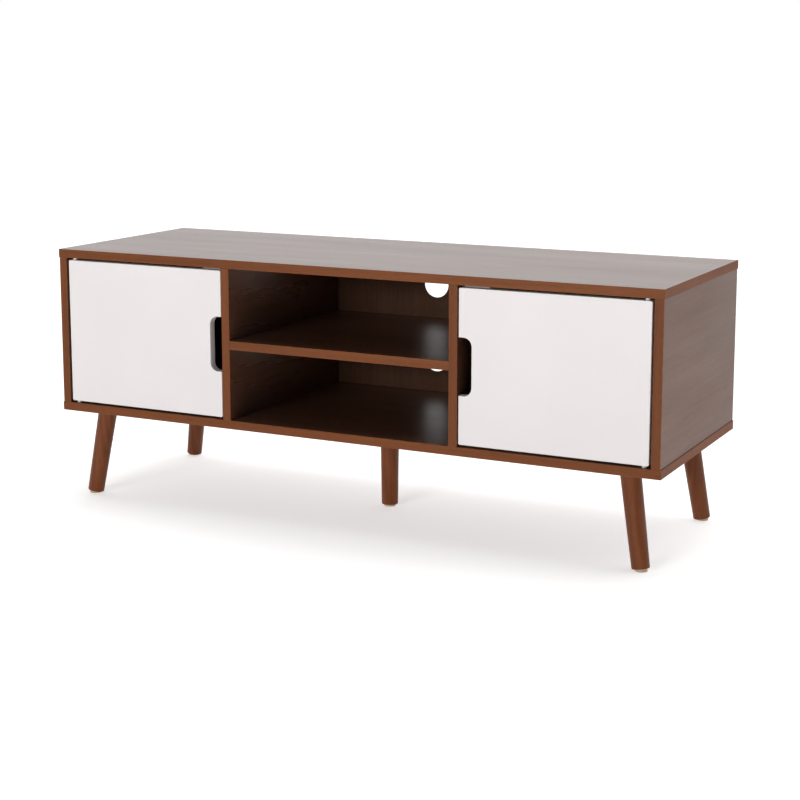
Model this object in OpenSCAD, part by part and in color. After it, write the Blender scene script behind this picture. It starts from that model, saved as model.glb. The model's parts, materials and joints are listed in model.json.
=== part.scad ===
// Low TV stand: a chipboard case with an open bay between two hinged doors, on five turned legs.
// +X runs along the width, -Y is the front, and z = 0 is the floor under the middle of the case.

/* [Case] */
// Width over the ends of the top and bottom boards
case_w = 1200; // [960:10:1500]
// Depth from the front edges to the back edges
case_d = 420; // [340:5:520]
// Height from the underside of the bottom board to the top surface
case_h = 312; // [250:1:400]
// Thickness of every chipboard panel
board_t = 16; // [15:0.5:20]
// Overhang of the top and bottom boards past the side panels
side_inset = 1.5; // [0.5:0.5:4]
// Clear width of the open bay between the dividers
bay_w = 440; // [340:5:540]
// Clear height of the open bay above the shelf
upper_bay_h = 132; // [100:1:150]
// Thickness of the edge band
band_t = 1; // [0.4:0.1:2]

/* [Back panel] */
// Thickness of the hardboard back panel
back_t = 3; // [2.5:0.5:5]
// Distance from the back edges of the boards to the back panel
back_land = 6; // [4:0.5:12]
// Depth of the groove that holds the back panel
groove_depth = 5; // [4:0.5:7]
// Diameter of each cable hole
cable_hole_d = 52; // [40:1:70]

/* [Doors] */
// Thickness of the door panel
door_t = 16; // [15:0.5:19]
// Distance from the front edges of the case to the door face
door_recess = 1.5; // [0:0.5:3]
// Gap above and below the door
door_gap = 4.2; // [2.5:0.1:5]
// Gap between the door and the side panel
hinge_gap = 4; // [3.5:0.1:6]
// Gap between the door and the divider
free_gap = 2; // [1.5:0.1:4]
// Radius of the door corners
door_corner_r = 3; // [1:0.5:6]
// Width of the finger notch
notch_w = 24; // [18:1:32]
// Height of the finger notch
notch_h = 101; // [80:1:130]
// Corner radius of the finger notch
notch_r = 15; // [8:1:17]

/* [Pivots] */
// Distance from the pivot axis to the hinge edge of the door
pivot_inset = 10; // [8:0.5:12]
// Diameter of the steel pivot pin
pin_d = 5; // [4:0.5:6]
// Length of the pin inside the door
pin_in_door = 16; // [12:1:24]
// Length of the pin inside the bush
pin_in_bush = 8; // [6:0.5:10]
// Outer diameter of the nylon bush
bush_d = 8; // [7.5:0.5:10]
// Diameter of the nylon spacer washer
spacer_d = 8; // [7:0.5:12]

/* [Catches] */
// Length of the catch housing
catch_w = 46; // [42:1:56]
// Depth of the catch housing, front to back
catch_d = 16; // [14:1:22]
// Length of the pole plates and the magnet
pole_w = 24; // [18:1:28]
// Thickness of one pole plate
pole_t = 1.5; // [1:0.1:2]
// Thickness of the magnet between the pole plates
magnet_t = 5; // [4:0.5:7]
// Height of the strike plate
strike_h = 10; // [9:0.5:14]
// Thickness of the strike plate
strike_t = 1; // [0.8:0.1:1.5]

/* [Legs] */
// Height of the underside of the bottom board above the floor
leg_h = 168; // [120:1:250]
// Diameter at the top of a leg
leg_top_d = 36; // [30:0.5:42]
// Diameter at the foot of a leg
leg_foot_d = 31; // [24:0.5:38]
// Angle of an outer leg from the vertical
leg_splay = 10; // [4:0.5:14]
// Direction of the splay, from the X axis towards the Y axis
leg_toe = 25; // [0:1:45]
// Distance from the end of the case to the centre of an outer plate
leg_inset_x = 69; // [55:1:120]
// Distance from the front or back of the case to the centre of an outer plate
leg_inset_y = 50; // [42:1:80]
// Width of the steel leg plate
plate_w = 56; // [50:1:70]
// Thickness of the steel leg plate
plate_t = 2; // [1.5:0.1:3]
// Diameter of the boss on the leg plate
boss_d = 26; // [22:0.5:30]
// Length of the boss along the leg axis
boss_h = 7; // [6.5:0.5:12]
// Diameter of the hanger bolt
bolt_d = 8; // [6:1:10]
// Diameter of the glide under a leg
glide_d = 22; // [16:0.5:24]
// Height of the middle of the leg's foot above the floor
glide_rise = 4.2; // [4:0.1:7]

/* [Joinery] */
// Diameter of a cam lock
cam_d = 15; // [12:0.5:15]
// How far a cam bore runs past the middle of its board
cam_past_middle = 4.5; // [4:0.25:5]
// Distance from the joint to the middle of the cam
cam_reach = 34; // [24:1:38]
// Distance from the front and back edges to the cams
fix_edge = 60; // [40:1:90]
// Distance from a cam bolt to its wooden dowel
dowel_offset = 32; // [24:1:48]
// Diameter of a wooden dowel
dowel_d = 8; // [6:0.5:8]
// Length of a wooden dowel
dowel_l = 30; // [26:1:34]
// Depth of the bolt and the dowel in the board that they are fixed to
seat_depth = 11; // [9:0.5:12]

/* [Hidden] */
$fn = 48;
play = 0.05;         // radial clearance of a pin or a fixing in its hole
groove_play = 0.2;   // clearance of the back panel in its groove
end_play = 0.5;      // spare depth under a pin, a dowel or the back panel's edge
over = 1;            // how far a cut runs past the face that it starts from

half_w = case_w / 2;
y_front = -case_d / 2;
y_back = case_d / 2;
z_under = leg_h;                       // underside of the bottom board
z_top = leg_h + case_h;                // top surface
z_floor = z_under + board_t;           // inside floor of the case
z_ceiling = z_top - board_t;           // inside ceiling of the case
side_in = half_w - side_inset - board_t; // inner face of a side panel
div_in = bay_w / 2;                    // bay face of a divider
div_out = div_in + board_t;            // cabinet face of a divider
back_y1 = y_back - back_land;          // rear face of the back panel
back_y0 = back_y1 - back_t;            // front face of the back panel
shelf_z1 = z_ceiling - upper_bay_h;
shelf_z0 = shelf_z1 - board_t;
shelf_mid = (shelf_z0 + shelf_z1) / 2;
side_mid = side_in + board_t / 2;
div_mid = div_in + board_t / 2;

door_x0 = -side_in + hinge_gap;        // hinge edge of the left door
door_x1 = -div_out - free_gap;         // free edge of the left door
door_y0 = y_front + door_recess;       // door face
door_y1 = door_y0 + door_t;            // back of the door
door_z0 = z_floor + door_gap;
door_z1 = z_ceiling - door_gap;
door_mid_z = (door_z0 + door_z1) / 2;
pivot_x = door_x0 + pivot_inset;
pivot_y = (door_y0 + door_y1) / 2;
bush_l = pin_in_bush + 1;
spacer_lift = 0.1;                     // running gap between a spacer and the case

strike_margin = 1;                     // from the top edge of the door to the strike plate
strike_w = pole_w + 14;
pole_stack = magnet_t + 2 * pole_t;
pole_gap = 0.1;                        // between the poles and the strike plate
pole_depth = 9;
pole_mid = door_gap + strike_margin + strike_h / 2; // below the ceiling
catch_wall = 2;
catch_h = pole_mid + pole_stack / 2 + catch_wall;
catch_x = -div_out - 5 - catch_w / 2;
catch_screw_x = catch_w / 2 - 5;
catch_screw_y = catch_d / 2 + 2;

screw_d = 3.5;
screw_head_d = 7;
screw_head_h = 1.8;
board_screw_l = 11;                    // length of a screw inside a board
back_screw_d = 3;
back_screw_in = 12;
plate_hole_pitch = plate_w - 14;

cam_depth = board_t / 2 + cam_past_middle;
cam_h = cam_depth - 0.5;
cam_sink = 0.2;                        // how far a cam lies below the board's face
cam_slot_w = 8;
bolt_thread_d = 6;
bolt_shank_d = 5;
bolt_head_d = 7;
bolt_head_l = 5;
bolt_bore_d = 8;
fix_ys = [y_front + fix_edge, y_back - fix_edge];
dowel_side = [1, -1];                  // a dowel lies on the inner side of its cam bolt
dowel_in = dowel_l - seat_depth;       // length of a dowel inside the board that carries the cam

corner_legs = [[-1, -1], [1, -1], [-1, 1], [1, 1]];
leg_l = (leg_h - glide_rise) / cos(leg_splay) - boss_h;
center_leg_l = leg_h - glide_rise - boss_h;
foot_ease = 1.2;                       // rounding of the foot, as a chamfer
top_ease = 0.8;
bolt_in_leg = 30;
bolt_tip = 3;                          // from the underside of the board to the bolt's end
glide_pin_d = 2.5;
glide_pin_l = 12;

// A block between two opposite corners.
module block(low, high) {
    translate(low) cube(high - low);
}

// A drilled hole along +Z that starts a little before its mouth.
module hole(d, depth) {
    translate([0, 0, -over]) cylinder(d = d, h = depth + over);
}

// Children once for the left half and once mirrored for the right half.
module both_sides() {
    children();
    mirror([1, 0, 0]) children();
}

// ---- Places ----

// The two joints at the ends of an upright board, +Z into the upright.
module at_upright_ends(x, ys) {
    for (end = [0, 1], y = ys)
        translate([x, y, end == 0 ? z_floor : z_ceiling]) mirror([0, 0, end]) children();
}

// The joints between the shelf and the dividers, +Z into the shelf and +X downwards.
module at_shelf_ends(ys) {
    both_sides() for (y = ys) translate([-div_in, y, shelf_mid]) rotate([0, 90, 0]) children();
}

dowel_ys = [for (i = [0, 1]) fix_ys[i] + dowel_side[i] * dowel_offset];

// The left door's lower (end = 0) or upper (end = 1) pivot, +Z into the door.
module at_pivot(end) {
    translate([pivot_x, pivot_y, end == 0 ? z_floor : z_ceiling]) mirror([0, 0, end]) children();
}

// The left catch: y = 0 at the back of the door, z = 0 at the ceiling.
module at_catch() {
    translate([catch_x, door_y1, z_ceiling]) children();
}

function splay_heading(corner) = atan2(corner[1] * sin(leg_toe), corner[0] * cos(leg_toe));

function plate_place(corner) = [corner[0] * (half_w - leg_inset_x), corner[1] * (case_d / 2 - leg_inset_y), z_under];

// A leg plate, flat under the bottom board and turned to the direction of its splay.
module at_corner_plate(corner) {
    translate(plate_place(corner)) rotate([0, 0, splay_heading(corner)]) children();
}

module at_center_plate() {
    translate([0, 0, z_under]) children();
}

// An outer leg's own axis, -Z towards the floor.
module at_corner_leg(corner) {
    at_corner_plate(corner) rotate([0, -leg_splay, 0]) children();
}

module at_plate_screws() {
    for (x = [-1, 1], y = [-1, 1]) translate([x, y, 0] * plate_hole_pitch / 2) children();
}

module at_back_screws() {
    both_sides() for (z = [shelf_z1 + upper_bay_h * 0.6, shelf_z0 - (shelf_z0 - z_floor) * 0.6])
        translate([div_mid, back_y1, z]) children();
    for (x = [-1, 1] * bay_w / 4) translate([x, back_y1, shelf_mid]) children();
}

// ---- Cuts that several boards share ----

// In a board that takes the bolt and the dowel, -Z into that board.
module bolt_seat() {
    mirror([0, 0, 1]) hole(bolt_thread_d + 2 * play, seat_depth + end_play);
}

module dowel_seat() {
    mirror([0, 0, 1]) hole(dowel_d + 2 * play, seat_depth + end_play);
}

// In a board that carries the cam: its bore opens on the +X face if face = 1, or on the -X face if face = -1.
module cam_bore(face) {
    hole(bolt_bore_d, cam_reach);
    translate([0, 0, cam_reach]) rotate([0, 90 * face, 0])
        translate([0, 0, board_t / 2 - cam_depth]) cylinder(d = cam_d + 2 * play, h = cam_depth + over);
}

module dowel_bore() {
    hole(dowel_d + 2 * play, dowel_in + end_play);
}

module back_groove_x(z, up) {
    reach = groove_depth * up;
    block([-side_in - groove_depth, back_y0 - groove_play / 2, min(z - over * up, z + reach)],
          [side_in + groove_depth, back_y1 + groove_play / 2, max(z - over * up, z + reach)]);
}

// Seats that the top and bottom boards share: the uprights' bolts and dowels, the pivot bushes and the groove.
module cap_board_seats(end) {
    for (x = [side_mid, div_mid]) both_sides() translate([x, 0, 0]) {
        for (y = fix_ys) translate([0, y, end == 0 ? z_floor : z_ceiling]) mirror([0, 0, end]) bolt_seat();
        for (y = dowel_ys) translate([0, y, end == 0 ? z_floor : z_ceiling]) mirror([0, 0, end]) dowel_seat();
    }
    both_sides() at_pivot(end) mirror([0, 0, 1]) hole(bush_d + 2 * play, bush_l + end_play);
    back_groove_x(end == 0 ? z_floor : z_ceiling, end == 0 ? -1 : 1);
}

// ---- Boards ----

module top_panel() {
    color("#584037") difference() {
        block([-half_w + band_t, y_front + band_t, z_ceiling], [half_w - band_t, y_back - band_t, z_top]);
        cap_board_seats(1);
        both_sides() at_catch() for (x = [-1, 1] * catch_screw_x)
            translate([x, catch_screw_y, 0]) hole(screw_d + 2 * play, board_screw_l + end_play);
    }
}

module bottom_panel() {
    color("#584037") difference() {
        block([-half_w + band_t, y_front + band_t, z_under], [half_w - band_t, y_back - band_t, z_floor]);
        cap_board_seats(0);
        for (corner = corner_legs) at_corner_plate(corner) at_plate_screws()
            hole(screw_d + 2 * play, board_screw_l + end_play);
        at_center_plate() at_plate_screws() hole(screw_d + 2 * play, board_screw_l + end_play);
    }
}

module left_side_panel() {
    color("#5c443b") difference() {
        block([-side_in - board_t, y_front + band_t, z_floor], [-side_in, y_back, z_ceiling]);
        at_upright_ends(-side_mid, fix_ys) cam_bore(1);
        at_upright_ends(-side_mid, dowel_ys) dowel_bore();
        block([-side_in - groove_depth, back_y0 - groove_play / 2, z_floor - over],
              [-side_in + over, back_y1 + groove_play / 2, z_ceiling + over]);
    }
}

module left_divider() {
    color("#5c443b") difference() {
        block([-div_out, y_front + band_t, z_floor], [-div_in, back_y0 - groove_play / 2, z_ceiling]);
        at_upright_ends(-div_mid, fix_ys) cam_bore(-1);
        at_upright_ends(-div_mid, dowel_ys) dowel_bore();
        at_shelf_ends(fix_ys) bolt_seat();
        at_shelf_ends(dowel_ys) dowel_seat();
        at_back_screws() rotate([90, 0, 0]) hole(back_screw_d + 2 * play, back_t + back_screw_in + end_play);
    }
}

module center_shelf() {
    color("#584037") difference() {
        block([-div_in, y_front + band_t, shelf_z0], [div_in, back_y0 - groove_play / 2, shelf_z1]);
        at_shelf_ends(fix_ys) cam_bore(1);
        at_shelf_ends(dowel_ys) dowel_bore();
        at_back_screws() rotate([90, 0, 0]) hole(back_screw_d + 2 * play, back_t + back_screw_in + end_play);
    }
}

module back_panel() {
    reach = groove_depth - end_play;
    color("#6b4a38") difference() {
        block([-side_in - reach, back_y0, z_floor - reach], [side_in + reach, back_y1, z_ceiling + reach]);
        for (z = [shelf_z1 + z_ceiling, z_floor + shelf_z0] / 2)
            translate([0, back_y0, z]) rotate([-90, 0, 0]) hole(cable_hole_d, back_t + over);
        at_back_screws() rotate([90, 0, 0]) hole(back_screw_d + 2 * play, back_t + over);
    }
}

// ---- Edge bands ----

// Four strips round a cap board: the long ones run over the ends of the short ones.
module cap_band(z0, z1) {
    color("#74452e") {
        for (s = [-1, 1]) {
            translate([0, s * (case_d - band_t) / 2, (z0 + z1) / 2]) cube([case_w, band_t, z1 - z0], center = true);
            translate([s * (case_w - band_t) / 2, 0, (z0 + z1) / 2])
                cube([band_t, case_d - 2 * band_t, z1 - z0], center = true);
        }
    }
}

module left_side_edge_band() {
    color("#74452e") block([-side_in - board_t, y_front, z_floor], [-side_in, y_front + band_t, z_ceiling]);
}

module left_divider_edge_band() {
    color("#74452e") block([-div_out, y_front, z_floor], [-div_in, y_front + band_t, z_ceiling]);
}

module shelf_edge_band() {
    color("#74452e") block([-div_in, y_front, shelf_z0], [div_in, y_front + band_t, shelf_z1]);
}

// ---- Doors ----

// The door's outline in X and Z: round corners, and a finger notch in the middle of the free edge.
module door_outline() {
    w = door_x1 - door_x0;
    h = door_z1 - door_z0;
    difference() {
        union() {
            translate([door_corner_r, 0]) square([w - 2 * door_corner_r, h]);
            translate([0, door_corner_r]) square([w, h - 2 * door_corner_r]);
            for (x = [door_corner_r, w - door_corner_r], y = [door_corner_r, h - door_corner_r])
                translate([x, y]) circle(r = door_corner_r);
        }
        translate([w - notch_w, (h - notch_h) / 2]) union() {
            translate([notch_r, 0]) square([notch_w - notch_r + over, notch_h]);
            translate([0, notch_r]) square([notch_w + over, notch_h - 2 * notch_r]);
            for (y = [notch_r, notch_h - notch_r]) translate([notch_r, y]) circle(r = notch_r);
        }
    }
}

module left_door() {
    color("#ebe7e5") difference() {
        translate([door_x0, door_y1, door_z0]) rotate([90, 0, 0]) linear_extrude(door_t) door_outline();
        for (end = [0, 1]) at_pivot(end) translate([0, 0, door_gap])
            hole(pin_d + 2 * play, pin_in_door + end_play);
        at_catch() translate([0, 0, -pole_mid]) rotate([90, 0, 0])
            hole(screw_d + 2 * play, board_screw_l + end_play);
    }
}

// ---- Pivots, with the door's side at +Z ----

module pivot_pin() {
    ease = 0.5;
    length = pin_in_bush + door_gap + pin_in_door;
    color("silver") translate([0, 0, -pin_in_bush]) {
        cylinder(d1 = pin_d - 2 * ease, d2 = pin_d, h = ease);
        translate([0, 0, ease]) cylinder(d = pin_d, h = length - 2 * ease);
        translate([0, 0, length - ease]) cylinder(d1 = pin_d, d2 = pin_d - 2 * ease, h = ease);
    }
}

module spacer() {
    color("white") difference() {
        translate([0, 0, spacer_lift]) cylinder(d = spacer_d, h = door_gap - spacer_lift);
        translate([0, 0, -over]) cylinder(d = pin_d + 2 * play, h = door_gap + 2 * over);
    }
}

module bush() {
    color("white") difference() {
        translate([0, 0, -bush_l]) cylinder(d = bush_d, h = bush_l);
        translate([0, 0, -bush_l - over]) cylinder(d = pin_d + 2 * play, h = bush_l + 2 * over);
    }
}

module pivot_bushes() {
    both_sides() for (end = [0, 1]) at_pivot(end) bush();
}

// ---- Magnetic catches ----

module catch_housing() {
    front = strike_t + pole_gap + 1;
    color("#b9b9b7") difference() {
        block([-catch_w / 2, front, -catch_h], [catch_w / 2, catch_d, 0]);
        block([-pole_w / 2, front - over, -pole_mid - pole_stack / 2],
              [pole_w / 2, strike_t + pole_gap + pole_depth, -pole_mid + pole_stack / 2]);
        for (x = [-1, 1] * catch_screw_x) translate([x, catch_screw_y, -catch_h])
            hole(screw_d + 4 * play, catch_h + over);
    }
}

module catch_poles() {
    front = strike_t + pole_gap;
    color("#8f9193") for (s = [-1, 1]) {
        z = -pole_mid + s * (pole_stack - pole_t) / 2;
        translate([0, front + pole_depth / 2, z]) cube([pole_w, pole_depth, pole_t], center = true);
    }
}

module catch_magnet() {
    front = strike_t + pole_gap + 0.6;
    color("#3a3a3c") block([-pole_w / 2, front, -pole_mid - magnet_t / 2],
                           [pole_w / 2, strike_t + pole_gap + pole_depth, -pole_mid + magnet_t / 2]);
}

module strike_plate() {
    color("#a4a6a8") difference() {
        translate([0, strike_t / 2, -pole_mid]) cube([strike_w, strike_t, strike_h], center = true);
        translate([0, -over, -pole_mid]) rotate([-90, 0, 0]) cylinder(d = screw_d + 4 * play, h = strike_t + 2 * over);
    }
}

// A screw with its head at z = 0 and its shank along +Z.
module pan_screw(d, head_d, head_h, length) {
    recess = head_h * 0.6;
    color("#b4b2aa") difference() {
        union() {
            translate([0, 0, -head_h]) cylinder(d1 = head_d * 0.8, d2 = head_d, h = head_h * 0.5);
            translate([0, 0, -head_h * 0.5]) cylinder(d = head_d, h = head_h * 0.5);
            cylinder(d = d, h = length);
        }
        for (turn = [0, 90]) rotate([0, 0, turn])
            translate([0, 0, -head_h]) cube([head_d * 0.55, head_d * 0.14, 2 * recess], center = true);
    }
}

module catch_screws() {
    both_sides() at_catch() for (x = [-1, 1] * catch_screw_x) translate([x, catch_screw_y, -catch_h])
        pan_screw(screw_d, screw_head_d, screw_head_h, catch_h + board_screw_l);
}

// The strike screw lies in the pole gap, so its head is thin and flush.
module strike_screw() {
    color("#b4b2aa") at_catch() translate([0, strike_t, -pole_mid]) rotate([90, 0, 0])
        cylinder(d = screw_d, h = strike_t + board_screw_l);
}

// ---- Legs ----

// A turned leg below its boss, top at z = -boss_h.
module leg(length) {
    foot_r = leg_foot_d / 2;
    top_r = leg_top_d / 2;
    color("#7a4a30") translate([0, 0, -boss_h - length]) difference() {
        rotate_extrude() polygon([[0, 0], [foot_r - foot_ease, 0], [foot_r, foot_ease],
            [top_r, length - top_ease], [top_r - top_ease, length], [0, length]]);
        translate([0, 0, length]) mirror([0, 0, 1]) hole(bolt_d + 2 * play, bolt_in_leg + end_play);
        hole(glide_pin_d + 2 * play, glide_pin_l + end_play);
    }
}

// Flat plate and boss: the boss follows the leg's axis, and its top is trimmed flush with the plate.
module leg_plate(splay) {
    color("#55565a") difference() {
        union() {
            translate([0, 0, -plate_t / 2]) cube([plate_w, plate_w, plate_t], center = true);
            rotate([0, -splay, 0]) translate([0, 0, -boss_h]) cylinder(d = boss_d, h = boss_h);
        }
        translate([0, 0, boss_h]) cube([2 * plate_w, 2 * plate_w, 2 * boss_h], center = true);
        rotate([0, -splay, 0]) translate([0, 0, -boss_h - over]) cylinder(d = bolt_d + 4 * play, h = 2 * boss_h);
        at_plate_screws() translate([0, 0, -plate_t]) hole(screw_d + 4 * play, plate_t + over);
    }
}

// Steel hanger bolt from the boss into the leg.
module leg_bolt() {
    color("#a9abad") translate([0, 0, -boss_h - bolt_in_leg]) cylinder(d = bolt_d, h = boss_h + bolt_in_leg - bolt_tip);
}

// A nylon glide with its nail: square to the leg at the top, level with the floor at the bottom.
module glide(length) {
    drop = 2.5 * glide_rise;
    translate([0, 0, -boss_h - length]) {
        translate([0, 0, -drop]) cylinder(d = glide_d, h = drop);
        cylinder(d = glide_pin_d, h = glide_pin_l);
    }
}

module leg_glides() {
    color("#d9cdb4") for (i = [0:len(corner_legs)]) difference() {
        if (i < len(corner_legs)) at_corner_leg(corner_legs[i]) glide(leg_l);
        else at_center_plate() glide(center_leg_l);
        block([-half_w, y_front, -leg_h], [half_w, y_back, 0]);
    }
}

module leg_bolts() {
    for (corner = corner_legs) at_corner_leg(corner) leg_bolt();
    at_center_plate() leg_bolt();
}

module leg_plate_screws() {
    for (corner = corner_legs) at_corner_plate(corner) at_plate_screws() translate([0, 0, -plate_t])
        pan_screw(screw_d, screw_head_d, screw_head_h, plate_t + board_screw_l);
    at_center_plate() at_plate_screws() translate([0, 0, -plate_t])
        pan_screw(screw_d, screw_head_d, screw_head_h, plate_t + board_screw_l);
}

// ---- Knock-down fittings ----

// A zinc cam in its bore: the bolt's head enters through its side, and a cross recess turns it.
module cam_lock(face) {
    color("#9a9c9e") difference() {
        translate([0, 0, cam_reach]) rotate([0, 90 * face, 0])
            translate([0, 0, board_t / 2 - cam_h]) cylinder(d = cam_d, h = cam_h - cam_sink);
        cylinder(d = cam_slot_w, h = cam_reach + bolt_head_l);
        translate([face * (board_t / 2 - cam_sink), 0, cam_reach]) for (turn = [0, 90]) rotate([turn + 45, 0, 0])
            cube([3, cam_d * 0.5, cam_d * 0.11], center = true);
    }
}

module cam_bolt() {
    color("#a9abad") {
        translate([0, 0, -seat_depth]) cylinder(d = bolt_thread_d, h = seat_depth);
        cylinder(d = bolt_shank_d, h = cam_reach);
        translate([0, 0, cam_reach - bolt_head_l / 2]) cylinder(d = bolt_head_d, h = bolt_head_l);
    }
}

module dowel() {
    color("#c9a26b") translate([0, 0, -seat_depth]) cylinder(d = dowel_d, h = dowel_l);
}

module cam_locks() {
    both_sides() {
        at_upright_ends(-side_mid, fix_ys) cam_lock(1);
        at_upright_ends(-div_mid, fix_ys) cam_lock(-1);
    }
    at_shelf_ends(fix_ys) cam_lock(1);
}

module cam_bolts() {
    both_sides() for (x = [side_mid, div_mid]) at_upright_ends(-x, fix_ys) cam_bolt();
    at_shelf_ends(fix_ys) cam_bolt();
}

module wood_dowels() {
    both_sides() for (x = [side_mid, div_mid]) at_upright_ends(-x, dowel_ys) dowel();
    at_shelf_ends(dowel_ys) dowel();
}

module back_panel_screws() {
    at_back_screws() rotate([90, 0, 0]) pan_screw(back_screw_d, 8, 1.8, back_t + back_screw_in);
}

// ---- The assembly ----

top_panel();
bottom_panel();
left_side_panel();
mirror([1, 0, 0]) left_side_panel();  // right_side_panel
left_divider();
mirror([1, 0, 0]) left_divider();  // right_divider
center_shelf();
back_panel();
cap_band(z_ceiling, z_top);  // top_edge_band
cap_band(z_under, z_floor);  // bottom_edge_band
left_side_edge_band();
mirror([1, 0, 0]) left_side_edge_band();  // right_side_edge_band
left_divider_edge_band();
mirror([1, 0, 0]) left_divider_edge_band();  // right_divider_edge_band
shelf_edge_band();
left_door();
mirror([1, 0, 0]) left_door();  // right_door
at_pivot(1) pivot_pin();  // left_upper_pivot_pin
at_pivot(0) pivot_pin();  // left_lower_pivot_pin
mirror([1, 0, 0]) at_pivot(1) pivot_pin();  // right_upper_pivot_pin
mirror([1, 0, 0]) at_pivot(0) pivot_pin();  // right_lower_pivot_pin
at_pivot(1) spacer();  // left_upper_spacer
at_pivot(0) spacer();  // left_lower_spacer
mirror([1, 0, 0]) at_pivot(1) spacer();  // right_upper_spacer
mirror([1, 0, 0]) at_pivot(0) spacer();  // right_lower_spacer
pivot_bushes();
at_catch() catch_housing();  // left_catch_housing
mirror([1, 0, 0]) at_catch() catch_housing();  // right_catch_housing
at_catch() catch_poles();  // left_catch_poles
mirror([1, 0, 0]) at_catch() catch_poles();  // right_catch_poles
at_catch() catch_magnet();  // left_catch_magnet
mirror([1, 0, 0]) at_catch() catch_magnet();  // right_catch_magnet
catch_screws();
at_catch() strike_plate();  // left_strike_plate
mirror([1, 0, 0]) at_catch() strike_plate();  // right_strike_plate
strike_screw();  // left_strike_screw
mirror([1, 0, 0]) strike_screw();  // right_strike_screw
at_corner_leg(corner_legs[0]) leg(leg_l);  // front_left_leg
at_corner_leg(corner_legs[1]) leg(leg_l);  // front_right_leg
at_corner_leg(corner_legs[2]) leg(leg_l);  // back_left_leg
at_corner_leg(corner_legs[3]) leg(leg_l);  // back_right_leg
at_center_plate() leg(center_leg_l);  // center_leg
at_corner_plate(corner_legs[0]) leg_plate(leg_splay);  // front_left_leg_plate
at_corner_plate(corner_legs[1]) leg_plate(leg_splay);  // front_right_leg_plate
at_corner_plate(corner_legs[2]) leg_plate(leg_splay);  // back_left_leg_plate
at_corner_plate(corner_legs[3]) leg_plate(leg_splay);  // back_right_leg_plate
at_center_plate() leg_plate(0);  // center_leg_plate
leg_bolts();
leg_glides();
leg_plate_screws();
cam_locks();
cam_bolts();
wood_dowels();
back_panel_screws();
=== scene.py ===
import json
import math

import bmesh
import bpy
from mathutils import Matrix, Vector


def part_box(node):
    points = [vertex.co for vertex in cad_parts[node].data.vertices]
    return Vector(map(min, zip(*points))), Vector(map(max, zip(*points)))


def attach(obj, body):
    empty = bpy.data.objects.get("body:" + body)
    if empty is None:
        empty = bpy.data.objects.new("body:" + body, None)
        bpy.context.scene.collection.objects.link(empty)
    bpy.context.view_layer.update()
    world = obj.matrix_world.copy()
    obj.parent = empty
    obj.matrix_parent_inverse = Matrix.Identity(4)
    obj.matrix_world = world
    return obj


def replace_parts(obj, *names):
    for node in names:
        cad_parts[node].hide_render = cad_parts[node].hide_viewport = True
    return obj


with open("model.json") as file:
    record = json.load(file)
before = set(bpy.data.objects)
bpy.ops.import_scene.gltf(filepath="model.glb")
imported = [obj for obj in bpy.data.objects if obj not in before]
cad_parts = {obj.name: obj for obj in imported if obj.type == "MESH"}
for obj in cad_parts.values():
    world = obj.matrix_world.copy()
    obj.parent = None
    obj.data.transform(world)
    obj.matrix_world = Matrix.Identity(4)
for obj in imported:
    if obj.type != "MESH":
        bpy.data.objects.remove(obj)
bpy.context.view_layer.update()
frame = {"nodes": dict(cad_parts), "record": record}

# ---- Bottom and top boards ----
# Chipboard faced on both sides with a satin walnut-print laminate. The board is sawn, drilled and grooved on its inner
# face, and its arrises are broken by a light pass of sandpaper before the edge bands go on.
SANDED = 0.0003
SAME_POINT, ON_FACE, FLAT = 1e-6, 1e-5, math.radians(0.5)


def merged_copy(node):
    """A bmesh of the node's mesh, with its loose triangles joined and its flat faces made whole."""
    bm = bmesh.new()
    bm.from_mesh(frame["nodes"][node].data)
    bmesh.ops.remove_doubles(bm, verts=bm.verts, dist=SAME_POINT)
    bmesh.ops.dissolve_limit(bm, angle_limit=FLAT, verts=bm.verts, edges=bm.edges)
    return bm


def arrises(bm):
    """The edges where two sides of the piece's own box meet."""
    low = [min(v.co[i] for v in bm.verts) for i in range(3)]
    high = [max(v.co[i] for v in bm.verts) for i in range(3)]

    def sides(v):
        return {(i, k) for i in range(3) for k, side in enumerate((low[i], high[i])) if abs(v.co[i] - side) < ON_FACE}

    return [e for e in bm.edges if len(sides(e.verts[0]) & sides(e.verts[1])) >= 2]


def break_edges(bm, edges, width, segments=2):
    """Rounds these edges, and marks the new faces in the attribute "rubbed" for the finish to wear."""
    rubbed = bm.loops.layers.float_color.get("rubbed")
    if rubbed is None:
        rubbed = bm.loops.layers.float_color.new("rubbed")
        for face in bm.faces:
            for loop in face.loops:
                loop[rubbed] = (0.0, 0.0, 0.0, 1.0)
    made = bmesh.ops.bevel(bm, geom=edges, offset=width, offset_type="OFFSET", segments=segments, profile=0.5,
                           affect="EDGES", clamp_overlap=True, material=-1)
    for face in made["faces"]:
        for loop in face.loops:
            loop[rubbed] = (1.0, 1.0, 1.0, 1.0)


def finished(bm, name, material, body, stands_for=(), crease=30.0):
    """Makes the bmesh a piece of the stand, smooth across edges flatter than crease degrees, with flat faces flat."""
    rubbed = bm.loops.layers.float_color.get("rubbed")
    for face in bm.faces:
        face.smooth = True
    for edge in bm.edges:
        worn = {face.loops[0][rubbed][0] > 0.5 for face in edge.link_faces} if rubbed else ()
        edge.smooth = len(edge.link_faces) == 2 and len(worn) < 2 and edge.calc_face_angle() < math.radians(crease)
    mesh = bpy.data.meshes.new(name)
    bm.to_mesh(mesh)
    bm.free()
    mesh.materials.append(material)
    piece = bpy.data.objects.new(name, mesh)
    bpy.context.scene.collection.objects.link(piece)
    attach(piece, body)
    if stands_for:
        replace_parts(piece, *stands_for)
    return piece


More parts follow.
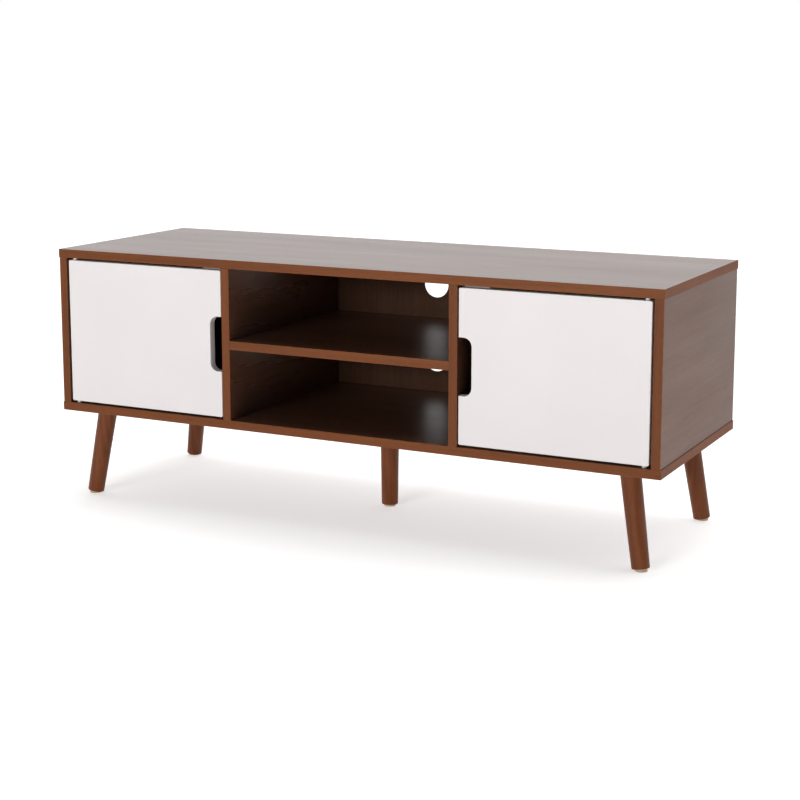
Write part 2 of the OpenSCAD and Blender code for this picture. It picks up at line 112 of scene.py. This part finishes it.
class Finish:
    """A material and the few kinds of node that the stand's finishes are mixed from."""

    def __init__(self, name):
        self.material = bpy.data.materials.new(name)
        self.material.use_nodes = True
        self.tree = self.material.node_tree
        self.shader = self.tree.nodes["Principled BSDF"]
        self.place = self.add("ShaderNodeTexCoord").outputs["Object"]

    def add(self, kind, **settings):
        node = self.tree.nodes.new(kind)
        for key, value in settings.items():
            setattr(node, key, value)
        return node

    def feed(self, socket, value):
        if isinstance(value, bpy.types.NodeSocket):
            self.tree.links.new(value, socket)
        else:
            socket.default_value = value

    def stretched(self, scale, shift=(0.0, 0.0, 0.0), turn=(0.0, 0.0, 0.0)):
        node = self.add("ShaderNodeMapping")
        self.feed(node.inputs["Vector"], self.place)
        node.inputs["Location"].default_value = shift
        node.inputs["Rotation"].default_value = turn
        node.inputs["Scale"].default_value = scale
        return node.outputs["Vector"]

    def noise(self, vector, scale=1.0, detail=3.0, roughness=0.5, distortion=0.0):
        node = self.add("ShaderNodeTexNoise")
        self.feed(node.inputs["Vector"], vector)
        wanted = {"Scale": scale, "Detail": detail, "Roughness": roughness, "Distortion": distortion}
        for key, value in wanted.items():
            node.inputs[key].default_value = value
        return node.outputs["Fac"]

    def sum(self, operation, a, b=0.0, c=0.0):
        node = self.add("ShaderNodeMath", operation=operation)
        for socket, value in zip(node.inputs, (a, b, c)):
            self.feed(socket, value)
        return node.outputs[0]

    def spread(self, value, low, high, to_low=0.0, to_high=1.0):
        node = self.add("ShaderNodeMapRange")
        for socket, given in zip(node.inputs, (value, low, high, to_low, to_high)):
            self.feed(socket, given)
        return node.outputs[0]

    def sheen(self, noise, smooth, rough):
        """A roughness that runs from smooth to rough over the middle of a noise, where most of its values lie."""
        return self.spread(noise, 0.3, 0.7, smooth, rough)

    def ramp(self, value, *stops):
        node = self.add("ShaderNodeValToRGB")
        self.feed(node.inputs[0], value)
        points = node.color_ramp.elements
        while len(points) < len(stops):
            points.new(0.5)
        for point, (place, colour) in zip(points, stops):
            point.position = place
            point.color = (*colour, 1.0)
        return node.outputs[0]

    def mix(self, amount, a, b):
        """A mix of two colours, which are sockets 6 and 7 of the node and its output 2."""
        node = self.add("ShaderNodeMix", data_type="RGBA")
        self.feed(node.inputs[0], amount)
        for socket, value in ((node.inputs[6], a), (node.inputs[7], b)):
            self.feed(socket, value if isinstance(value, bpy.types.NodeSocket) else (*value, 1.0))
        return node.outputs[2]

    def rubbed(self, amount):
        """How worn the arrises are: the marked faces, in patches, up to this amount."""
        node = self.add("ShaderNodeAttribute", attribute_name="rubbed")
        patchy = self.spread(self.noise(self.place, 90.0, 3.0, 0.6), 0.42, 0.62)
        return self.sum("MULTIPLY", self.sum("MULTIPLY", node.outputs["Fac"], patchy), amount)

    def done(self, colour, roughness, height=None, depth=None, **plain):
        """Sets the shader. The height is a bump of this depth in metres, and plain holds values for other sockets."""
        self.feed(self.shader.inputs["Base Color"], colour)
        self.feed(self.shader.inputs["Roughness"], roughness)
        for key, value in plain.items():
            self.shader.inputs[key.replace("_", " ")].default_value = value
        if height is not None:
            bump = self.add("ShaderNodeBump")
            bump.inputs["Strength"].default_value = 1.0
            bump.inputs["Distance"].default_value = depth
            self.feed(bump.inputs["Height"], height)
            self.feed(self.shader.inputs["Normal"], bump.outputs[0])
        return self.material


def along(axis, lengthwise, across):
    """A scale that draws a pattern out along the grain."""
    return tuple(lengthwise if i == "xyz".index(axis) else across for i in range(3))


def walnut_print(name, axis, shift, tones, shine=(0.32, 0.37), index=1.5):
    """Printed walnut: slow bands of tone, drawn-out figure lines and short dark pores, all along the grain."""
    f = Finish(name)
    bands = f.noise(f.stretched(along(axis, 1.1, 9.0), shift), 1.0, 3.0, 0.55, 0.08)
    heart = f.noise(f.stretched(along(axis, 0.7, 11.0), shift), 1.0, 1.0, 0.4)
    lines = f.spread(f.sum("SINE", f.sum("MULTIPLY", heart, 34.0)), -1.0, 1.0)
    streaks = f.noise(f.stretched(along(axis, 3.0, 160.0), shift), 1.0, 3.0, 0.6)
    pores = f.noise(f.stretched(along(axis, 38.0, 1100.0), shift), 1.0, 2.0, 0.5)
    pores = f.spread(pores, 0.60, 0.70)
    tone = f.sum("MULTIPLY_ADD", bands, 0.62, -0.06)
    tone = f.sum("MULTIPLY_ADD", lines, 0.05, tone)
    tone = f.sum("MULTIPLY_ADD", streaks, 0.36, tone)
    colour = f.ramp(tone, (0.20, tones[0]), (0.46, tones[1]), (0.74, tones[2]))
    colour = f.mix(f.sum("MULTIPLY", pores, 0.45), colour, tuple(0.45 * c for c in tones[0]))
    colour = f.mix(f.rubbed(0.5), colour, tuple(min(1.0, 1.7 * c) for c in tones[2]))
    rough = f.sheen(f.noise(f.stretched(along(axis, 2.0, 14.0), shift), 1.0, 4.0), *shine)
    height = f.sum("MULTIPLY_ADD", pores, -0.6, f.sum("MULTIPLY", streaks, 0.3))
    return f.done(colour, rough, height, depth=0.00005, IOR=index)


laminate_tones = ((0.056, 0.022, 0.012), (0.100, 0.041, 0.023), (0.148, 0.065, 0.037))
laminate_x = walnut_print("walnut_laminate_along_x", "x", (0.0, 0.0, 0.0), laminate_tones)
# Lighter than laminate_tones: painted light, standing in for the sheen and light on the top board.
top_tones_with_painted_light = ((0.068, 0.027, 0.014), (0.118, 0.048, 0.026), (0.168, 0.074, 0.042))
laminate_top = walnut_print("walnut_laminate_of_top", "x", (0.4, 1.9, 0.2), top_tones_with_painted_light, (0.23, 0.27), 1.52)

for node, name, face in (("bottom_panel", "bottom_board", laminate_x), ("top_panel", "top_board", laminate_top)):
    board = merged_copy(node)
    break_edges(board, arrises(board), SANDED)
    finished(board, name, face, "cabinet", [node])

# ---- Bands of the bottom and top boards ----
# A one-millimetre walnut band is glued round all four edges of each board: the front and back strips run over the
# ends of the side strips, and the arrises are rounded over with a trimming cutter.
TRIMMED = 0.0005
band_tones = ((0.108, 0.030, 0.008), (0.166, 0.049, 0.013), (0.216, 0.070, 0.020))
band_x = walnut_print("walnut_band_along_x", "x", (3.1, 0.4, 0.2), band_tones, (0.36, 0.46), 1.24)
band_y = walnut_print("walnut_band_along_y", "y", (0.7, 2.3, 0.5), band_tones, (0.44, 0.52), 1.17)


def band_of(node, name, low, high, material):
    """One strip of edge band between two corners, with its outer arrises rounded."""
    bm = bmesh.new()
    bmesh.ops.create_cube(bm, size=1.0)
    bmesh.ops.scale(bm, vec=Vector(high) - Vector(low), verts=bm.verts)
    bmesh.ops.translate(bm, vec=(Vector(low) + Vector(high)) / 2, verts=bm.verts)
    thin = min(range(3), key=lambda i: high[i] - low[i])
    outside = high[thin] if abs(high[thin]) > abs(low[thin]) else low[thin]
    rounded = [e for e in bm.edges if all(abs(v.co[thin] - outside) < SAME_POINT for v in e.verts)]
    break_edges(bm, rounded, TRIMMED, segments=3)
    return finished(bm, name, material, "cabinet")


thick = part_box("left_side_edge_band")[1][1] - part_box("left_side_edge_band")[0][1]
for node, word in (("bottom_edge_band", "bottom"), ("top_edge_band", "top")):
    low, high = (Vector(c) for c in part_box(node))
    front_y, back_y = low.y + thick, high.y - thick
    front = band_of(node, f"{word}_front_band", low, (high.x, front_y, high.z), band_x)
    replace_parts(front, node)
    band_of(node, f"{word}_back_band", (low.x, back_y, low.z), high, band_x)
    band_of(node, f"{word}_left_band", (low.x, front_y, low.z), (low.x + thick, back_y, high.z), band_y)
    band_of(node, f"{word}_right_band", (high.x - thick, front_y, low.z), (high.x, back_y, high.z), band_y)

# ---- Sides ----
# The same laminated chipboard, with its grain running from front to back. Cams, dowels and the groove for the back
# are cut in the inner face, and only the front edge is banded.
# Lighter than laminate_tones: painted light, standing in for the sheen on the side boards.
side_tones_with_painted_light = ((0.066, 0.027, 0.014), (0.112, 0.047, 0.025), (0.160, 0.071, 0.039))
laminate_side = walnut_print("walnut_laminate_of_sides", "y", (0.0, 2.6, 0.35), side_tones_with_painted_light, (0.36, 0.44), 1.28)
band_z = walnut_print("walnut_band_along_z", "z", (0.2, 0.9, 1.4), band_tones, (0.36, 0.46), 1.24)

for side in ("left", "right"):
    node = f"{side}_side_panel"
    board = merged_copy(node)
    break_edges(board, arrises(board), SANDED)
    finished(board, f"{side}_side_board", laminate_side, "cabinet", [node])
    node = f"{side}_side_edge_band"
    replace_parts(band_of(node, f"{side}_side_band", *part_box(node), band_z), node)

# ---- Dividers and shelf ----
# Two uprights and one shelf of the same board. They stop against the face of the back panel, and each has one banded
# front edge.
laminate_y = walnut_print("walnut_laminate_along_y", "y", (0.0, 1.7, 0.6), laminate_tones, (0.26, 0.32), 1.44)
for side in ("left", "right"):
    node = f"{side}_divider"
    board = merged_copy(node)
    break_edges(board, arrises(board), SANDED)
    finished(board, f"{side}_divider_board", laminate_y, "cabinet", [node])
    node = f"{side}_divider_edge_band"
    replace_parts(band_of(node, f"{side}_divider_band", *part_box(node), band_z), node)

board = merged_copy("center_shelf")
break_edges(board, arrises(board), SANDED)
finished(board, "shelf_board", laminate_x, "cabinet", ["center_shelf"])
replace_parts(band_of("shelf_edge_band", "shelf_band", *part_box("shelf_edge_band"), band_x), "shelf_edge_band")

# ---- Cam locks, cam bolts and dowels ----
# The boards are knocked down for shipping. Each joint has a tumbled die-cast zinc cam with a cross slot, a
# zinc-plated bolt that it draws in, and one beech dowel that keeps the joint from turning.
SHARP = math.radians(40.0)
bodies = frame["record"]["behaviour"]["bodies"]


def body_that_holds(node):
    return next(name for name, nodes in bodies.items() if node in nodes)


def plated(name, tones, roughness, spangle=700.0):
    """Plated or cast metal: a faint spangle, rubbed bright on its edges."""
    f = Finish(name)
    grains = f.noise(f.place, spangle, 3.0, 0.6)
    colour = f.ramp(grains, (0.32, tones[0]), (0.68, tones[1]))
    colour = f.mix(f.rubbed(0.8), colour, tuple(min(1.0, 1.25 * c) for c in tones[1]))
    return f.done(colour, f.sheen(grains, *roughness), grains, depth=0.00002, Metallic=1.0)


def sharp_edges(bm):
    return [e for e in bm.edges if len(e.link_faces) == 2 and e.calc_face_angle() > SHARP]


def dressed(node, name, material, width):
    """A copy of the node with all of its sharp edges broken."""
    bm = merged_copy(node)
    break_edges(bm, sharp_edges(bm), width)
    return finished(bm, name, material, body_that_holds(node), [node], crease=35.0)


def paint(node, material):
    """Gives a node that keeps its own shape the finish."""
    for place in frame["nodes"][node].material_slots:
        place.material = material


die_cast = plated("die_cast_zinc", ((0.40, 0.41, 0.42), (0.56, 0.57, 0.58)), (0.42, 0.58), 1600.0)
zinc_plate = plated("bright_zinc_plate", ((0.52, 0.52, 0.50), (0.68, 0.68, 0.66)), (0.26, 0.40))
dressed("cam_locks", "joint_cams", die_cast, 0.00015)
paint("cam_bolts", zinc_plate)

f = Finish("beech")
flecks = f.noise(f.stretched((900.0, 900.0, 60.0)), 1.0, 2.0, 0.5)
tone = f.ramp(flecks, (0.35, (0.50, 0.33, 0.17)), (0.65, (0.62, 0.44, 0.25)))
paint("wood_dowels", f.done(tone, f.sheen(flecks, 0.55, 0.7), flecks, depth=0.00008))

# ---- Back panel ----
# One sheet of thin hardboard, printed walnut on the face that shows in the bays and raw brown fibre behind. The
# print's tones are darker than the laminate of the other boards: painted shade for the dark bays. The cable holes are
# cut with a hole saw, and the screws behind hold the sheet to the dividers and the shelf.
printed_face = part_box("back_panel")[0][1]
# Darker than laminate_tones: painted shade for the inside of the bays.
back_tones_with_painted_shade = ((0.042, 0.017, 0.009), (0.066, 0.029, 0.015), (0.093, 0.043, 0.023))
back_print = walnut_print("hardboard_back_print", "z", (2.0, 0.3, 0.8), back_tones_with_painted_shade, (0.46, 0.58), 1.2)

f = Finish("raw_hardboard")
felt = f.noise(f.place, 130.0, 5.0, 0.65)
fibre = f.noise(f.stretched((900.0, 900.0, 420.0)), 1.0, 4.0, 0.7)
tone = f.ramp(f.sum("MULTIPLY_ADD", fibre, 0.6, f.sum("MULTIPLY", felt, 0.4)), (0.36, (0.078, 0.042, 0.021)),
              (0.50, (0.108, 0.061, 0.032)), (0.64, (0.142, 0.083, 0.046)))
raw_hardboard = f.done(tone, f.sheen(fibre, 0.62, 0.78), fibre, depth=0.0001, IOR=1.3)

sheet = merged_copy("back_panel")
back = finished(sheet, "back_sheet", back_print, "cabinet", ["back_panel"])
back.data.materials.append(raw_hardboard)
for face in back.data.polygons:
    if face.center.y > printed_face + ON_FACE:
        face.material_index = 1
dressed("back_panel_screws", "back_sheet_screws", zinc_plate, 0.0002)

# ---- Magnetic catches ----
# A grey moulded housing under the top board holds a ferrite magnet between two plated pole plates. Its grey is set
# pale: painted light, for the light that reaches it through the gap over the door. The poles meet a thin strike plate
# on the back of the door, and two screws hold the housing up.


def nylon(name, pale, deep):
    """Moulded nylon: nearly even in colour, with a very fine bloom on its surface."""
    f = Finish(name)
    bloom = f.noise(f.place, 2200.0, 2.0, 0.5)
    colour = f.mix(f.spread(f.noise(f.place, 140.0, 3.0), 0.35, 0.65), pale, deep)
    return f.done(colour, f.sheen(bloom, 0.38, 0.5), bloom, depth=0.00002, Subsurface_Weight=0.15,
                  Subsurface_Scale=0.001)


# The housing's pale grey is partly painted light, for light reaching it through the gap over the door.
grey_moulding = nylon("grey_moulding_painted_light", (0.60, 0.60, 0.585), (0.54, 0.54, 0.525))
f = Finish("ferrite")
grit = f.noise(f.place, 1800.0, 3.0, 0.6)
ferrite = f.done(f.ramp(grit, (0.3, (0.020, 0.020, 0.022)), (0.7, (0.045, 0.045, 0.048))),
                 f.sheen(grit, 0.6, 0.75), grit, depth=0.00005)
nickel = plated("nickel_plate", ((0.55, 0.54, 0.51), (0.70, 0.69, 0.66)), (0.22, 0.34))
for side in ("left", "right"):
    dressed(f"{side}_catch_housing", f"{side}_catch_body", grey_moulding, 0.0006)
    dressed(f"{side}_catch_poles", f"{side}_catch_pole_plates", nickel, 0.0002)
    dressed(f"{side}_catch_magnet", f"{side}_catch_ferrite", ferrite, 0.0002)
dressed("catch_screws", "catch_fixing_screws", zinc_plate, 0.0002)

# ---- Doors ----
# Fibreboard, sprayed with satin white lacquer on every face after its edges were rounded over. A finger notch is
# routed in the free edge with the same rounding, and the lacquer is a little thinner on the arrises.
RIM_ROUND, SCREW_ZONE = 0.0011, 0.004
f = Finish("white_lacquer")
cloud = f.noise(f.place, 5.0, 3.0, 0.5)
peel = f.noise(f.place, 900.0, 2.0, 0.5)
tint = f.ramp(cloud, (0.30, (0.725, 0.686, 0.682)), (0.70, (0.755, 0.717, 0.713)))
tint = f.mix(f.rubbed(0.35), tint, (0.74, 0.71, 0.68))
gloss = f.sheen(f.noise(f.place, 22.0, 4.0, 0.6), 0.34, 0.44)
lacquer = f.done(tint, gloss, peel, depth=0.00002)

for side in ("left", "right"):
    node = f"{side}_door"
    leaf = merged_copy(node)
    low, high = (Vector(c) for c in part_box(node))
    screw_low, screw_high = (Vector(c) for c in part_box(f"{side}_strike_screw"))
    screw = (screw_low + screw_high) / 2
    rim = []
    for edge in leaf.edges:
        a, b = (v.co for v in edge.verts)
        for face_y in (low.y, high.y):
            flat = abs(a.y - face_y) < ON_FACE and abs(b.y - face_y) < ON_FACE
            by_screw = Vector((a.x - screw.x, a.z - screw.z)).length < SCREW_ZONE
            if flat and not by_screw and len(edge.link_faces) == 2 and edge.calc_face_angle() > SHARP:
                rim.append(edge)
    break_edges(leaf, rim, RIM_ROUND, segments=4)
    finished(leaf, f"{side}_door_leaf", lacquer, node, [node], crease=40.0)

# ---- Leg plates ----
# A pressed steel plate with a short boss welded on at the leg's angle and tapped for the leg's bolt. It is powder
# coated black, and four pan-head screws hold it under the bottom board.
f = Finish("black_powder_coat")
specks = f.noise(f.place, 2600.0, 2.0, 0.6)
tint = f.ramp(f.noise(f.place, 60.0), (0.3, (0.020, 0.020, 0.022)), (0.7, (0.032, 0.032, 0.034)))
tint = f.mix(f.rubbed(0.7), tint, (0.22, 0.22, 0.23))
powder_coat = f.done(tint, f.sheen(specks, 0.42, 0.58), specks, depth=0.00006)

LEGS = ("front_left_leg", "front_right_leg", "back_left_leg", "back_right_leg", "center_leg")
for leg in LEGS:
    dressed(f"{leg}_plate", f"{leg}_fixing", powder_coat, 0.00025)
dressed("leg_plate_screws", "leg_fixing_screws", zinc_plate, 0.0002)
paint("leg_bolts", zinc_plate)

# ---- Legs ----
# Turned from one piece of hardwood: a straight taper with a small round at the top and a wider one at the foot, then
# stained walnut and lacquered. The stain takes a little darker in the pores and wears paler on the rounds.
SPLAY, TOE = math.radians(10.0), math.radians(25.0)
BOSS, FOOT_RISE, PLATE_UNDER = 0.007, 0.0042, 0.168
TOP_R, FOOT_R = 0.018, 0.0155
HEAD_ROUND, FOOT_ROUND = 0.0008, 0.0013


def leg_frame(leg):
    """Places a leg that is made upright, with the middle of its top at the origin, under its plate."""
    low, high = (Vector(c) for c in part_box(f"{leg}_plate"))
    middle = (low + high) / 2
    if leg == "center_leg":
        return Matrix.Translation((0.0, 0.0, PLATE_UNDER - BOSS)), PLATE_UNDER - FOOT_RISE - BOSS
    heading = math.atan2(math.copysign(math.sin(TOE), middle.y), math.copysign(math.cos(TOE), middle.x))
    place = Matrix.Translation((middle.x, middle.y, PLATE_UNDER)) @ Matrix.Rotation(heading, 4, "Z")
    place = place @ Matrix.Rotation(-SPLAY, 4, "Y") @ Matrix.Translation((0.0, 0.0, -BOSS))
    return place, (PLATE_UNDER - FOOT_RISE) / math.cos(SPLAY) - BOSS


def leg_stain(name, shift, turn):
    """Stained hardwood with its grain along the leg: a figure of slow waves, fine dark pores and a satin lacquer."""
    f = Finish(name)
    wide = f.noise(f.stretched((16.0, 16.0, 2.2), shift, turn), 1.0, 3.0, 0.5, 0.4)
    rings = f.noise(f.stretched((13.0, 13.0, 1.6), shift, turn), 1.0, 1.0)
    rings = f.sum("PINGPONG", f.sum("MULTIPLY", rings, 11.0), 0.5)
    fine = f.noise(f.stretched((420.0, 420.0, 7.0), shift, turn), 1.0, 3.0, 0.6)
    pores = f.spread(f.noise(f.stretched((1500.0, 1500.0, 45.0), shift, turn), 1.0, 2.0), 0.60, 0.68)
    tone = f.sum("MULTIPLY_ADD", wide, 0.55, 0.0)
    tone = f.sum("MULTIPLY_ADD", f.spread(rings, 0.0, 0.5), 0.14, tone)
    tone = f.sum("MULTIPLY_ADD", fine, 0.30, tone)
    colour = f.ramp(tone, (0.26, (0.086, 0.022, 0.005)), (0.50, (0.150, 0.041, 0.011)), (0.74, (0.218, 0.065, 0.020)))
    colour = f.mix(f.sum("MULTIPLY", pores, 0.5), colour, (0.055, 0.018, 0.008))
    colour = f.mix(f.rubbed(0.45), colour, (0.30, 0.13, 0.06))
    height = f.sum("MULTIPLY_ADD", pores, -0.7, f.sum("MULTIPLY", fine, 0.5))
    rough = f.sheen(wide, 0.34, 0.44)
    return f.done(colour, rough, height, depth=0.00008, IOR=1.27)


for count, leg in enumerate(LEGS):
    place, length = leg_frame(leg)
    turned = bmesh.new()
    corners = ((0.0, 0.0), (TOP_R, 0.0), (FOOT_R, -length), (0.0, -length))
    outline = [turned.verts.new((radius, 0.0, z)) for radius, z in corners]
    path = [turned.edges.new(pair) for pair in zip(outline, outline[1:])]
    bmesh.ops.spin(turned, geom=outline + path, cent=(0, 0, 0), axis=(0, 0, 1), angle=2 * math.pi, steps=64,
                   use_merge=True)
    bmesh.ops.remove_doubles(turned, verts=turned.verts, dist=SAME_POINT)
    bmesh.ops.recalc_face_normals(turned, faces=turned.faces)
    foot = [e for e in sharp_edges(turned) if all(v.co.z < -length / 2 for v in e.verts)]
    break_edges(turned, foot, FOOT_ROUND, segments=4)
    head = [e for e in sharp_edges(turned) if all(v.co.z > -length / 2 for v in e.verts)]
    break_edges(turned, head, HEAD_ROUND, segments=3)
    bmesh.ops.transform(turned, matrix=place, verts=turned.verts)
    turn = place.to_3x3().inverted().to_euler()
    stain = leg_stain(f"leg_stain_{count + 1}", (0.37 * count, 0.81 * count, 0.53 * count), tuple(turn))
    finished(turned, f"{leg}_turning", stain, "cabinet", [leg])

# ---- Glides ----
# A moulded nylon glide is nailed in the end of each leg. Its face has worn level with the floor, and it stands a few
# millimetres proud of the wood.
cream_nylon = nylon("cream_nylon", (0.52, 0.41, 0.28), (0.45, 0.35, 0.23))
dressed("leg_glides", "foot_glides", cream_nylon, 0.0006)

# ---- Strike plates ----
# A nickel-plated steel plate, sheared from strip, lies on the back of each door behind its top corner, held by one
# flush screw.
for side in ("left", "right"):
    dressed(f"{side}_strike_plate", f"{side}_strike", nickel, 0.00015)
    dressed(f"{side}_strike_screw", f"{side}_strike_fixing", zinc_plate, 0.0002)

# ---- Pivots ----
# Each door turns on two plated steel pins. A white nylon spacer on each pin carries the door, and the pin runs in a
# plain bush of the same nylon that is pressed in the top or bottom board.
white_nylon = nylon("white_nylon", (0.70, 0.69, 0.66), (0.64, 0.63, 0.60))
for side in ("left", "right"):
    for end in ("upper", "lower"):
        dressed(f"{side}_{end}_spacer", f"{side}_{end}_washer", white_nylon, 0.0003)
        paint(f"{side}_{end}_pivot_pin", zinc_plate)
paint("pivot_bushes", white_nylon)

# ---- Camera, floor and lights ----
# A pale seamless floor that glows, more strongly with distance: painted light that keeps the far floor white, lightens
# the shadow under the stand and lights the stand from below. One broad soft light overhead and a long low key from the
# front left. The room lights the stand from behind more than from the front, and shows as a white backdrop all round.
floor_mesh = bpy.data.meshes.new("floor")
bm = bmesh.new()
bmesh.ops.create_grid(bm, x_segments=1, y_segments=1, size=40.0)
bm.to_mesh(floor_mesh)
bm.free()
floor = bpy.data.objects.new("floor", floor_mesh)
bpy.context.scene.collection.objects.link(floor)
f = Finish("studio_floor")
away = f.add("ShaderNodeVectorMath", operation="LENGTH")
f.feed(away.inputs[0], f.place)
# The floor's glow is painted light: weaker near the stand, where it lightens the shadow, stronger further away.
f.feed(f.shader.inputs["Emission Strength"], f.spread(away.outputs["Value"], 1.2, 4.0, 0.52, 0.80))
floor_mesh.materials.append(f.done((0.86, 0.86, 0.86, 1.0), 0.9, Emission_Color=(1.0, 1.0, 1.0, 1.0)))

AIM = Vector((0.0214, 0.0, 0.358))
AZIMUTH, ELEVATION, DISTANCE = math.radians(26.83), math.radians(9.26), 3.157
SENSOR, LENS, SHIFT = 36.0, 76.4, -0.1
camera_data = bpy.data.cameras.new("camera")
camera = bpy.data.objects.new("camera", camera_data)
bpy.context.scene.collection.objects.link(camera)
level = math.cos(ELEVATION)
toward = Vector((math.sin(AZIMUTH) * level, -math.cos(AZIMUTH) * level, math.sin(ELEVATION)))
camera.location = AIM + toward * DISTANCE
camera.rotation_mode = "QUATERNION"
camera.rotation_quaternion = (-toward).to_track_quat("-Z", "Y")
camera_data.sensor_width = SENSOR
camera_data.lens = LENS
camera_data.shift_y = SHIFT
camera_data.clip_end = 200.0
bpy.context.scene.camera = camera


def softbox(name, place, aim, width, height, power):
    data = bpy.data.lights.new(name, "AREA")
    data.shape = "RECTANGLE"
    data.size, data.size_y, data.energy = width, height, power
    lamp = bpy.data.objects.new(name, data)
    bpy.context.scene.collection.objects.link(lamp)
    lamp.location = place
    lamp.rotation_mode = "QUATERNION"
    lamp.rotation_quaternion = (Vector(aim) - Vector(place)).to_track_quat("-Z", "Y")


softbox("overhead", (0.1, 0.25, 3.0), (0.0, 0.05, 0.0), 4.6, 2.2, 46.0)
softbox("front_key", (-0.7, -5.6, 1.45), (0.0, 0.0, 0.32), 2.4, 0.6, 138.0)

world = bpy.data.worlds.new("studio")
bpy.context.scene.world = world
world.use_nodes = True
sky = world.node_tree.nodes
background = sky["Background"]
direction = sky.new("ShaderNodeTexCoord")
parts = sky.new("ShaderNodeSeparateXYZ")
world.node_tree.links.new(direction.outputs["Generated"], parts.inputs[0])
depth = sky.new("ShaderNodeMapRange")
world.node_tree.links.new(parts.outputs["Y"], depth.inputs[0])
for key, value in {"From Min": -0.10, "From Max": 0.20, "To Min": 0.03, "To Max": 1.0}.items():
    depth.inputs[key].default_value = value
seen = sky.new("ShaderNodeLightPath")
backdrop = sky.new("ShaderNodeMath")
backdrop.operation = "MAXIMUM"
world.node_tree.links.new(depth.outputs[0], backdrop.inputs[0])
world.node_tree.links.new(seen.outputs["Is Camera Ray"], backdrop.inputs[1])
world.node_tree.links.new(backdrop.outputs[0], background.inputs["Strength"])
background.inputs["Color"].default_value = (1.0, 1.0, 1.0, 1.0)
bpy.context.scene.view_settings.view_transform = "Standard"
bpy.context.scene.view_settings.look = "None"
